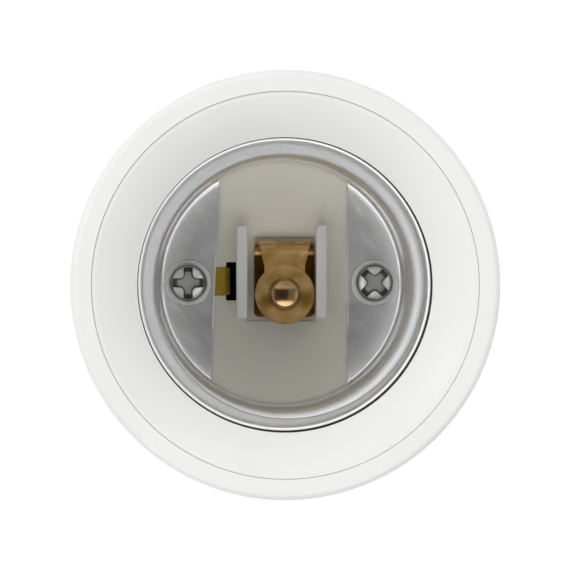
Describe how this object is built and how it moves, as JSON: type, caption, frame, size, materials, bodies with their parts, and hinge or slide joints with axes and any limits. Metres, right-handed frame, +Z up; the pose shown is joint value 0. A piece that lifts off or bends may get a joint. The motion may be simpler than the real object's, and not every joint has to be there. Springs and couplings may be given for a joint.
{
  "type": "lamp socket adapter",
  "caption": "White lamp socket adapter: goblet body with a medium screw base below and a large aluminium screw socket above, with a sprung centre contact.",
  "frame": {"origin": "on the axis at the top of the base shell, where the casing's shoulder meets it", "axes": "+Z up the axis and out of the socket's mouth, +X from the left shell screw to the right one, +Y towards the contact spring's fold"},
  "size_m": [0.0594, 0.0594, 0.0865],
  "materials": {
    "casing_plastic": "satin white heat-proof plastic",
    "insert_plastic": "satin off-white heat-proof plastic",
    "shell_aluminium": "bright drawn sheet, lightly scratched",
    "screw_steel": "zinc plated",
    "lead_brass": "plain brass, slightly dull",
    "contact_copper": "copper alloy, slightly tarnished",
    "wire_sleeve": "silicone sleeve",
    "base_aluminium": "bright rolled sheet",
    "base_insulator": "black, smooth",
    "solder": "dull solder"
  },
  "bodies": {
    "adapter": {"casing": "casing_plastic", "socket_insert": "insert_plastic", "screw_shell": "shell_aluminium", "shell_screw_left": "screw_steel", "shell_screw_right": "screw_steel", "shell_lead": "lead_brass", "contact_spring": "contact_copper", "spring_rivet": "lead_brass", "lead_terminal": "lead_brass", "centre_lead": "wire_sleeve", "base_shell": "base_aluminium", "base_insulator": "base_insulator", "base_contact": "lead_brass", "tip_solder": "solder"},
    "contact": {"contact_button": "contact_copper"}
  },
  "joints": [
    {"name": "contact_press", "type": "hinge", "parent": "adapter", "child": "contact", "pos_m": [0.00045, 0.004, 0.0218], "axis": [1, 0, 0], "range_deg": [0, 15], "stiffness_Nm_per_rad": 0.3, "deforming": ["contact_spring"]}
  ]
}
